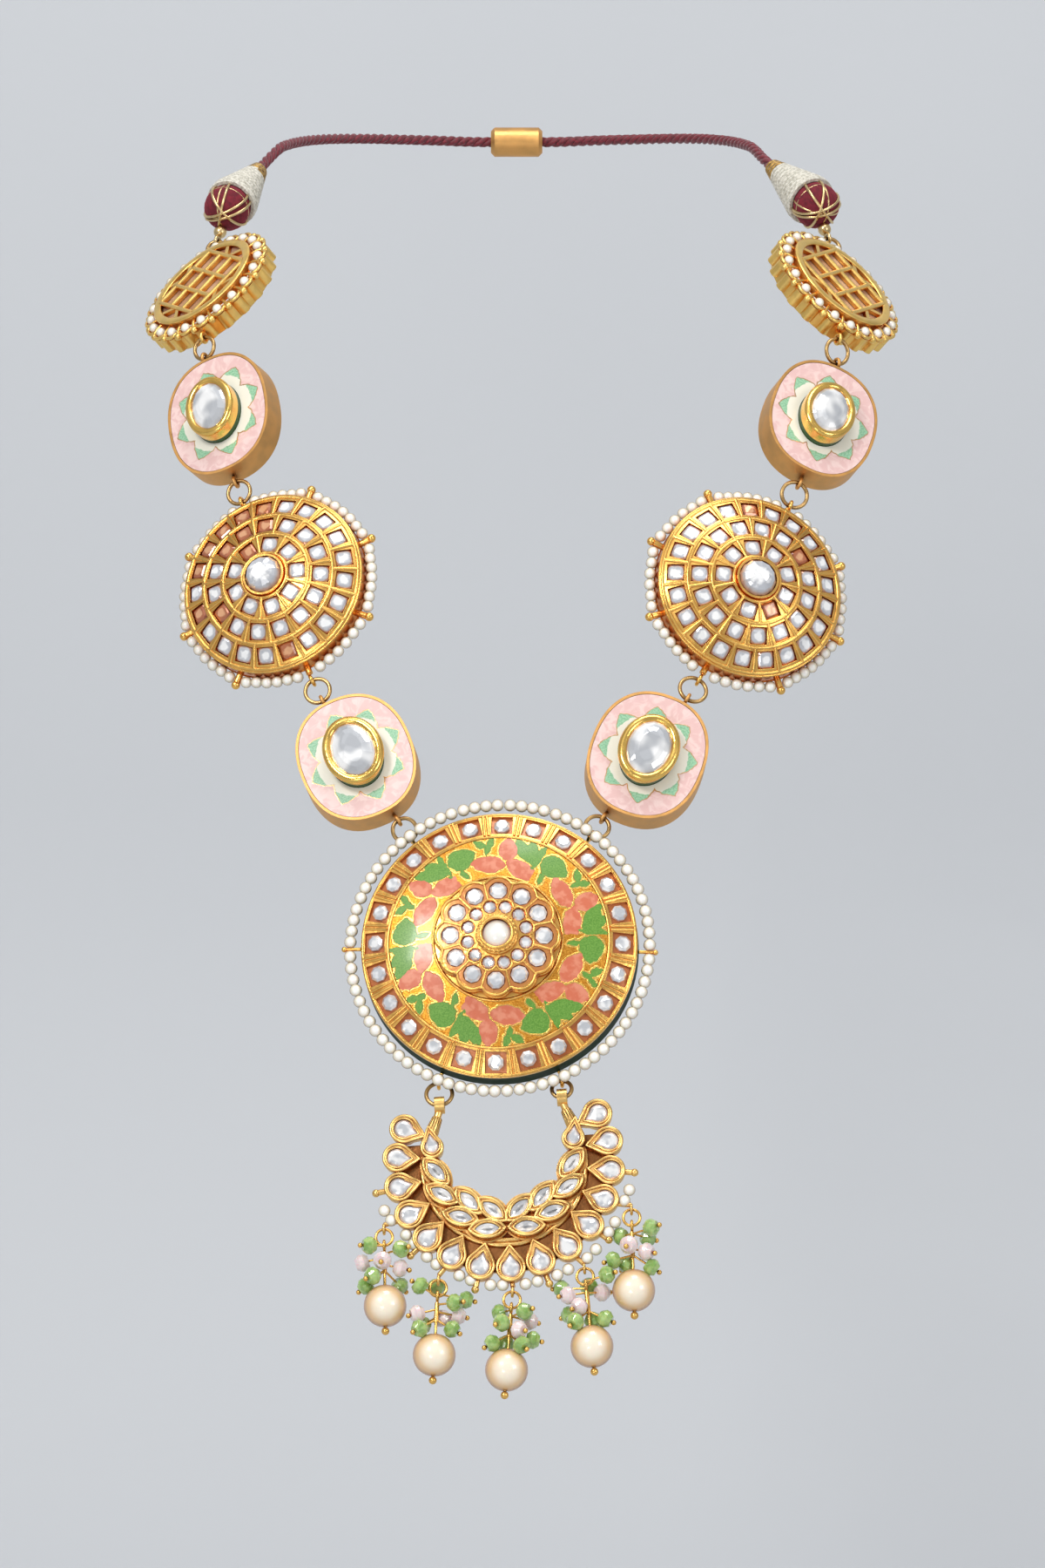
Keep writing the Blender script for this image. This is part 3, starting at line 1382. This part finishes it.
def makeMedallion(white, pearls, cream):
    v = medallion
    place, radius, rise, top = v["place"], v["radius"], v["rise"], v["top"]
    matrix = placeMatrix(place)
    rs = (radius**2 + rise**2) / (2 * rise)
    gold = medallionGold(place, rs, top, radius)
    redo("medallion_plate", "medallion_gold", gold)
    redo("medallion_enamel", "medallion_flowers", medallionEnamelSkin(place))
    paint("medallion_stones", white)
    paint("rosette_stones", white)
    redo("rosette_pearl", "rosette_centre", cream)
    string = stringed(place, medallionString(), v["pearl"], "medallion_seed_pearls")
    fit(string, pearls, instead="medallion_pearls")
    # raised ribs in pairs between the square settings, and a round line on either side of them
    runs = []
    step = 360 / v["settings"]
    for i in range(v["settings"]):
        for aside in (-v["ribPair"], v["ribPair"]):
            turns = [step * (i + 0.5) + aside * v["ribPairAt"] / r for r in v["ribEnds"]]
            runs.append([onDome(rs, top, r, turn, -v["ribSunk"]) for r, turn in zip(v["ribEnds"], turns)])
    ribs = wire(runs, v["wire"], "medallion_ribs", matrix)
    rounds = [circle(r, domeHeight(rs, top, r) - v["lineSunk"], 90) for r in v["rounds"]]
    lines = wire(rounds, v["wire"], "medallion_lines", matrix, closed=True)
    fit(joinUp([ribs, lines], "medallion_ribs"), gold)
    makeRosette(place, rs + rosette["lift"], top + rosette["lift"])
    print("medallion made")


# crescent pendant
crescent = {
    "place": (-3.1, -207.7, -260.3, 20, -3.5, 4),
    "arcCentre": (0, -6),
    "arcMiddle": -89,
    "tearStep": 16.4,
    "tearReach": 24.4,
    "tear": (6.75, 8.9),
    "tearPit": (4.6, 6.0),
    "leaf": (4.6, 9.0),
    "leafPit": (2.9, 5.9),
    "armTear": (5.2, 8.0),
    "armPit": (3.4, 5.0),
    # place and turn of the right arm's setting, and how far each pit lies off the middle
    "armAt": (17.1, 0.6, -8),
    "tearPitShift": -0.6,
    "armPitShift": -0.3,
    # tops of the teardrop settings and of the others
    "tops": (1.3, 1.5),
    "ridgeInset": 0.15,
    "seatInset": -0.28,
    # how far the stones stay inside their pits, and the rows of facets on them
    "stoneGap": 0.1,
    "stoneSunk": 1.1,
    "girdle": 0.75,
    "facets": [(0.5, 0.35), (0.45, 0.15)],
    # leaf settings of the right arm: x, y, angle of the long axis
    "leaves": [(16.2, -6.8, 50), (15, -12.5, 32), (8.7, -14.6, 50),
               (10.9, -18.3, 17), (3.15, -17.1, 42), (4.7, -21.7, 0)],
    # radius and height of the bands under the teardrops
    "bands": [(18.3, -0.5), (19.5, -0.55)],
    "bandWire": 0.8,
    "ridgeWire": 0.42,
    "seatWire": 0.27,
    # foot and head of the arm under each bail, and its radius at both
    "arm": ((17.0, 3.0, 0), (15.3, 7.0, 0)),
    "armRadii": (1.75, 1.25),
    "armBevel": 0.35,
    "pearl": 1.48,
    # pairs of pearls between the pegs, from left to right
    "pearls": [[(-29, -15.3), (-27.5, -17.8)], [(-24.1, -21.6), (-22.4, -24)], [(-19.4, -27.3), (-17.2, -29.3)],
               [(-11.9, -32.4), (-9.2, -33.7)], [(-4.6, -35.2), (-1.7, -35.4)], [(3.7, -35.5), (6.6, -35)],
               [(11.3, -33.8), (14, -32.6)], [(18.6, -30.1), (20.8, -28.1)], [(24, -24.1), (25.7, -21.7)],
               [(28.2, -16.6), (29.5, -14)]],
}


def moved(outline, y):
    return [p + Vector((0, y * mm, 0)) for p in outline]


def tearOutline(width, length, count=28):
    # a round end with a pointed tip at +y
    swing = math.degrees(math.acos(width / (2 * length - width)))
    start, span = 90 + swing, 360 - 2 * swing
    rounded = [polar(width / 2, start + span * i / count) for i in range(count + 1)]
    return [Vector((0, length / 2 * mm, 0))] + moved(rounded, (width - length) / 2)


def leafOutline(width, length, count=12):
    # two arcs that meet in points along x
    radius = (length**2 + width**2) / (4 * width)
    half = math.degrees(math.asin(length / 2 / radius))
    upper = moved([polar(radius, 90 + half - 2 * half * i / count) for i in range(count)], width / 2 - radius)
    return upper + [p * -1 for p in upper]


def settingPlaces():
    # every setting of the crescent: its outline, its pit, its place and its height
    c = crescent
    tearTop, leafTop = c["tops"]
    found = []
    for k in range(-7, 8):
        turn = c["arcMiddle"] + c["tearStep"] * k
        at = polar(c["tearReach"], turn) + Vector((*c["arcCentre"], 0)) * mm
        spin = Matrix.Translation(at) @ turned(turn + 90)
        found.append((tearOutline(*c["tear"]), moved(tearOutline(*c["tearPit"]), c["tearPitShift"]), spin, tearTop))
    for side in (1, -1):
        flip = Matrix.Scale(side, 4, Vector((1, 0, 0)))
        for x, y, angle in c["leaves"]:
            spin = flip @ shifted(x, y) @ turned(angle)
            found.append((leafOutline(*c["leaf"]), leafOutline(*c["leafPit"]), spin, leafTop))
        x, y, angle = c["armAt"]
        arm = shifted(side * x, y) @ turned(side * angle)
        pit = moved(tearOutline(*c["armPit"]), c["armPitShift"])
        found.append((tearOutline(*c["armTear"]), pit, arm, leafTop))
    return found


def inward(outline, amount):
    # the same outline drawn in towards its middle
    middle = sum(outline, Vector()) / len(outline)
    return [p - (p - middle).normalized() * amount * mm for p in outline]


def bailArms(matrix):
    arms = []
    foot, head = [Vector(p) for p in crescent["arm"]]
    low, high = crescent["armRadii"]
    for side in (1, -1):
        start, end = [Vector((side * p.x, p.y, p.z)) for p in (foot, head)]
        bpy.ops.mesh.primitive_cone_add(
            vertices=16, radius1=low * mm, radius2=high * mm, depth=(end - start).length * mm)
        arm = bpy.context.object
        edit(action="SELECT")
        bpy.ops.mesh.bevel(offset=crescent["armBevel"] * mm, segments=2, affect="EDGES")
        leave()
        bpy.ops.object.shade_smooth()
        settle(arm, matrix @ alongMatrix((start + end) / 2, end - start))
        arms.append(arm)
    return arms


def makeCrescent(white, pearls):
    c = crescent
    matrix = placeMatrix(c["place"])
    gold = pendantGold(c["place"])
    redo("crescent_frame", "crescent_gold", gold, "crescent")
    stones, outer, inner = [], [], []
    for outline, pit, spin, height in settingPlaces():
        lift = Vector((0, 0, height * mm))
        outer.append([spin @ p + lift for p in inward(outline, c["ridgeInset"])])
        inner.append([spin @ p + lift for p in inward(pit, c["seatInset"])])
        stone = cutStone(inward(pit, c["stoneGap"]), c["girdle"], c["facets"])
        settle(stone, matrix @ spin @ shifted(0, 0, height - c["stoneSunk"]))
        stones.append(stone)
    fit(joinUp(stones, "crescent_cut_stones"), white, "crescent", instead="crescent_stones")
    # a gold band under the tips of the teardrops, and thick arms below the bails
    band = [[polar(r, c["arcMiddle"] + 2.5 * i) + Vector((*c["arcCentre"], h)) * mm for i in range(-36, 37)]
            for r, h in c["bands"]]
    bands = wire(band, c["bandWire"], "crescent_bands", matrix)
    arms = bailArms(matrix)
    ridges = wire(outer, c["ridgeWire"], "crescent_ridges", matrix, closed=True, roundness=1)
    seats = wire(inner, c["seatWire"], "crescent_seats", matrix, closed=True, roundness=1)
    fit(joinUp([ridges, seats, bands] + arms, "crescent_ridges"), gold, "crescent")
    stations = [[Vector((x, y, 0)) * mm for x, y in pair] for pair in c["pearls"]]
    string = stringed(c["place"], stations, c["pearl"], "crescent_pearl_pairs", 16)
    fit(string, pearls, "crescent", instead="crescent_pearls")
    print("crescent made")


# drops
drops = {
    "bead": 2.15,
    "beadThickness": 1.6,
    # width of a bead's ends against its middle, and the step in from their edge
    "beadEnd": 0.62,
    "beadInset": 0.66,
    # how many beads of each drop are green; the rest are pink
    "green": {"1": 5, "2": 7, "3": 7, "4": 7, "5": 6},
}


def facetedBead():
    # a rondelle cut in two rows of facets, flat at both ends
    radius, thick = drops["bead"] * mm, drops["beadThickness"] * mm
    bpy.ops.mesh.primitive_cylinder_add(vertices=12, radius=radius * drops["beadEnd"], depth=2 * thick)
    bead = bpy.context.object
    pick(bead, "FACE", lambda face: abs(face.normal.z) < 0.5)
    bpy.ops.mesh.subdivide(number_cuts=2)
    leave()
    level = thick / 3
    for vertex in bead.data.vertices:
        if abs(abs(vertex.co.z) - level) < level * 0.2:
            flat = Vector((vertex.co.x, vertex.co.y, 0)).normalized()
            vertex.co = flat * radius + Vector((0, 0, math.copysign(level * 0.9, vertex.co.z)))
    pick(bead, "FACE", lambda face: abs(face.normal.z) > 0.9 and len(face.vertices) > 6)
    bpy.ops.mesh.inset(thickness=drops["beadInset"] * mm)
    leave()
    return bead


def makeDrops(cream, green, pink):
    pins = goldFinish("pinGold", (244, 194, 108), (160, 98, 42), 0.2, 2200, 0.3, 0.06, 1.0)[0]
    for name, greenCount in drops["green"].items():
        redo("drop_pearl_" + name, "drop_%s_pearl" % name, cream, "crescent", 40)
        redo("drop_wires_" + name, "drop_%s_pins" % name, pins, "crescent")
        found = islandsOf("drop_beads_" + name)
        middle = sum(centre.z for centre, _ in found) / len(found)
        found.sort(key=lambda s: abs(s[0].z - middle))
        places = {"green": [], "pink": []}
        for i, (centre, points) in enumerate(found):
            spot = Matrix.Translation(centre) @ shortAxis(points).to_track_quat("Z", "Y").to_matrix().to_4x4()
            places["pink" if i < len(found) - greenCount else "green"].append(spot)
        for tone, material, node in (("green", green, "drop_beads_" + name), ("pink", pink, None)):
            beads = repeated(facetedBead(), places[tone], "drop_%s_beads_%s" % (name, tone))
            fit(beads, material, "crescent", instead=node)
    print("drops made")


def makeRings():
    aged = goldFinish("agedWire", golds["wire"], (70, 46, 26), 0.26, 2200, 0.4, 0.1, 2.0)[0]
    for node in ("jump_rings_left", "jump_rings_right", "crescent_ring_left", "crescent_ring_right"):
        ring = smoothCopy(node, node + "_wire")
        edit(action="SELECT")
        bpy.ops.transform.shrink_fatten(value=0.1 * mm)
        leave()
        fit(ring, aged, nodes[node]["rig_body"], instead=node)
    print("rings made")


addCamera()
makeTopEnds()
addBackdrop()
addLights()
whiteStone = foilStone("whiteStone", (254, 254, 254), (206, 209, 214))
bigStone = foilStone("bigStone", (254, 254, 254), (188, 191, 196), 0.1, 120, 170)
seedPearl = pearlSkin("seedPearl", (254, 252, 246), (230, 221, 200), (146, 124, 88))
creamPearl = pearlSkin("creamPearl", (254, 241, 219), (228, 192, 144), (166, 110, 60))
whitePearl = pearlSkin("whitePearl", (246, 244, 238), (216, 214, 206), (168, 158, 136))
greenBead = beadGlass("greenBead", (170, 200, 122), (126, 164, 80))
pinkBead = beadGlass("pinkBead", (238, 221, 220), (226, 205, 206))
makePiercedDiscs(seedPearl)
makeOvalTiles(bigStone)
makeSunDiscs(seedPearl)
makeMedallion(whiteStone, seedPearl, whitePearl)
makeCrescent(whiteStone, seedPearl)
makeDrops(creamPearl, greenBead, pinkBead)
makeRings()
